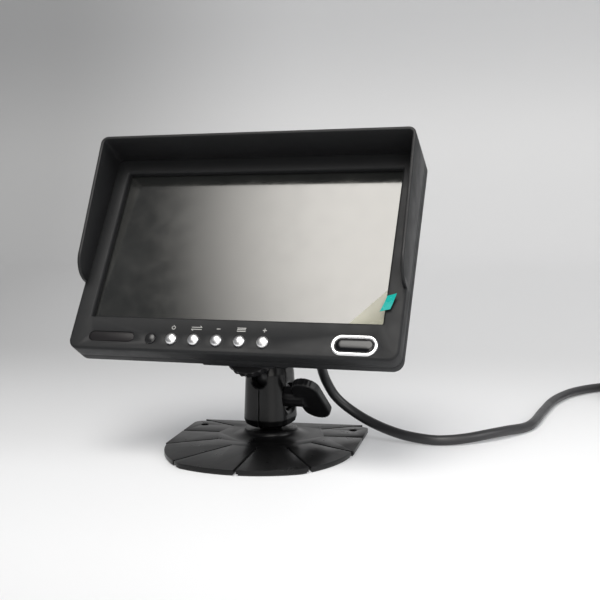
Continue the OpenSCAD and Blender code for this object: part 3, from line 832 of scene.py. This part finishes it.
def disc_part(n=192, teeth=24, tooth=0.6):
    """The lock disc: a boss and a knurled rim."""
    bore = 2.6
    a = np.arange(n) * 2 * math.pi / n
    valley = tooth * (1 - (0.5 + 0.5 * np.cos(teeth * a)) ** 2)

    def ring(r, y, knurl=0.0):
        r = r - knurl * valley
        return np.column_stack([r * np.cos(a), np.full(n, float(y)), r * np.sin(a)])

    rim = [ring(*step) for step in
           ((bore, -35), (13.4, -35), (13.95, -34.85, 0.3), (14.4, -34.4, 1), (14.5, -33.8, 1),
            (14.5, -31.0, 1), (14.4, -30.5, 1), (13.95, -30.15, 0.3), (13.4, -30), (bore, -30))]
    boss = [ring(*step) for step in
            ((bore, -34.9), (9, -34.9), (9, -36.6), (8.7, -36.9), (bore, -36.9))]
    return join(loft(rim, closed=True), loft(boss, closed=True))


piece("lock_disc_body", disc_part(), "black_plastic", "disc", STUD, nodes=("lock_disc",), smooth=40)

# strain relief on the monitor: a ribbed, tapered boot
boot_steps = [(3.5, 21), (3.5, 26.05), (5.4, 26.1), (5.4, 28.5), (5.2, 29)]
for rib in range(7):
    y = 29.6 + rib * 2.7
    r = 5.2 - (y - 26) * 0.062
    boot_steps += [(r - 0.75, y), (r - 0.75, y + 0.9), (r, y + 1.1), (r - 0.1, y + 2.5)]
boot_steps += [(3.7, 49.4), (3.55, 49.9), (3.2, 50)]
piece("lead_boot_body", tower(boot_steps, lambda r: circle(r, 40, *BOOT_AT)), "lead_pvc", "monitor",
      MON, nodes=("lead_boot",), smooth=40)


# ---------------------------------------------------------------- floor and light
def paper():
    """Pale paper with painted light: it glows a little, and painted shade makes it greyer to the
    left and the back, and far in front.
    """
    mat = bpy.data.materials.new("paper")
    mat.use_nodes = True
    nodes, links = mat.node_tree.nodes, mat.node_tree.links
    bsdf = nodes["Principled BSDF"]
    coords = nodes.new("ShaderNodeTexCoord")

    def fade(direction, low, high, start, end):
        """A value that goes smoothly from start to end between two places along a direction."""
        dot = nodes.new("ShaderNodeVectorMath")
        dot.operation = "DOT_PRODUCT"
        dot.inputs[1].default_value = direction
        links.new(coords.outputs["Object"], dot.inputs[0])
        node = nodes.new("ShaderNodeMapRange")
        node.interpolation_type = "SMOOTHSTEP"
        span = {"From Min": low, "From Max": high, "To Min": start, "To Max": end}
        for key, value in span.items():
            node.inputs[key].default_value = value
        links.new(dot.outputs["Value"], node.inputs["Value"])
        return node.outputs["Result"]

    def combine(operation, a, b):
        node = nodes.new("ShaderNodeMath")
        node.operation = operation
        links.new(a, node.inputs[0])
        links.new(b, node.inputs[1])
        return node.outputs["Value"]

    # painted light and shade: the floor is coloured lighter to the right and towards the front,
    # where the lamps fall, and darker far in front
    painted_light_right = fade((1, 0.3, 0), -0.45, 0.2, 0.26, 0.43)
    painted_light_front = fade((0, -1, 0), -0.32, 0.18, 0.0, 0.28)
    painted_shade_far_front = fade((0, 1, 0), -0.5, -0.16, 0.6, 1.0)
    grey = combine("MULTIPLY", combine("ADD", painted_light_right, painted_light_front), painted_shade_far_front)
    tint = nodes.new("ShaderNodeVectorMath")
    tint.operation = "SCALE"
    tint.inputs[0].default_value = (0.985, 0.995, 1.015)
    links.new(grey, tint.inputs["Scale"])
    links.new(tint.outputs["Vector"], bsdf.inputs["Base Color"])
    # the floor glows a little as painted light, which lifts its shadows
    links.new(tint.outputs["Vector"], bsdf.inputs["Emission Color"])
    bsdf.inputs["Emission Strength"].default_value = 0.33
    bsdf.inputs["Roughness"].default_value = 0.5
    bsdf.inputs["Specular IOR Level"].default_value = 0.25
    return mat


def cove(front=-2.5, back=1.15, bend=0.5, height=2.6, side=3.2):
    """A pale sweep: table, bend and wall in one sheet, in metres."""
    rows = [(front, 0.0), (back, 0.0)]
    rows += [(back + bend * math.sin(math.radians(a)), bend - bend * math.cos(math.radians(a)))
             for a in range(6, 91, 6)]
    rows += [(back + bend, height)]
    xs = np.linspace(-side, side, 9)
    verts = [(x, y, z) for y, z in rows for x in xs]
    n = len(xs)
    faces = [(i * n + k, i * n + k + 1, (i + 1) * n + k + 1, (i + 1) * n + k)
             for i in range(len(rows) - 1) for k in range(n - 1)]
    me = bpy.data.meshes.new("cove_mesh")
    me.from_pydata(verts, [], faces)
    for poly in me.polygons:
        poly.use_smooth = True
    obj = bpy.data.objects.new("cove", me)
    scene.collection.objects.link(obj)
    me.materials.append(paper())


cove()


def lamp(name, place, target, size, power, colour=(1, 1, 1)):
    """A soft square lamp, in metres and watts, facing its target."""
    data = bpy.data.lights.new(name, "AREA")
    data.shape = "RECTANGLE"
    data.size = size
    data.size_y = size
    data.energy = power
    data.color = colour
    obj = bpy.data.objects.new(name, data)
    obj.location = place
    obj.rotation_euler = (Vector(target) - Vector(place)).to_track_quat("-Z", "Y").to_euler()
    scene.collection.objects.link(obj)


lamp("side", place=(1.3, -0.35, 0.75), target=(0.05, 0.0, 0.1), size=0.9, power=9)
lamp("front", place=(0.5, -1.55, 0.75), target=(0, 0, 0.1), size=1.1, power=12,
     colour=(1.0, 0.97, 0.93))


def studio_world(base, soft, strength, centre, inner, outer):
    """An even grey surround with one soft bright patch overhead, which the screen mirrors.

    The patch is full inside one angle from its centre, in degrees, and gone at the other.
    """
    world = bpy.data.worlds.new("world")
    scene.world = world
    world.use_nodes = True
    nodes, links = world.node_tree.nodes, world.node_tree.links
    coords = nodes.new("ShaderNodeTexCoord")
    dot = nodes.new("ShaderNodeVectorMath")
    dot.operation = "DOT_PRODUCT"
    dot.inputs[1].default_value = Vector(centre).normalized()
    links.new(coords.outputs["Generated"], dot.inputs[0])
    fade = nodes.new("ShaderNodeMapRange")
    fade.interpolation_type = "SMOOTHSTEP"
    fade.inputs["From Min"].default_value = math.cos(math.radians(outer))
    fade.inputs["From Max"].default_value = math.cos(math.radians(inner))
    links.new(dot.outputs["Value"], fade.inputs["Value"])
    mix = nodes.new("ShaderNodeMix")
    mix.data_type = "RGBA"
    mix.inputs["A"].default_value = (*[c * base for c in (0.97, 0.99, 1.03)], 1)
    mix.inputs["B"].default_value = (*[c * strength for c in soft], 1)
    links.new(fade.outputs["Result"], mix.inputs["Factor"])
    links.new(mix.outputs["Result"], nodes["Background"].inputs["Color"])


studio_world(base=0.15, soft=(1.0, 0.98, 0.945), strength=8.4, centre=(-0.095, -0.46, 0.882),
             inner=11, outer=24)
scene.view_settings.view_transform = "Standard"
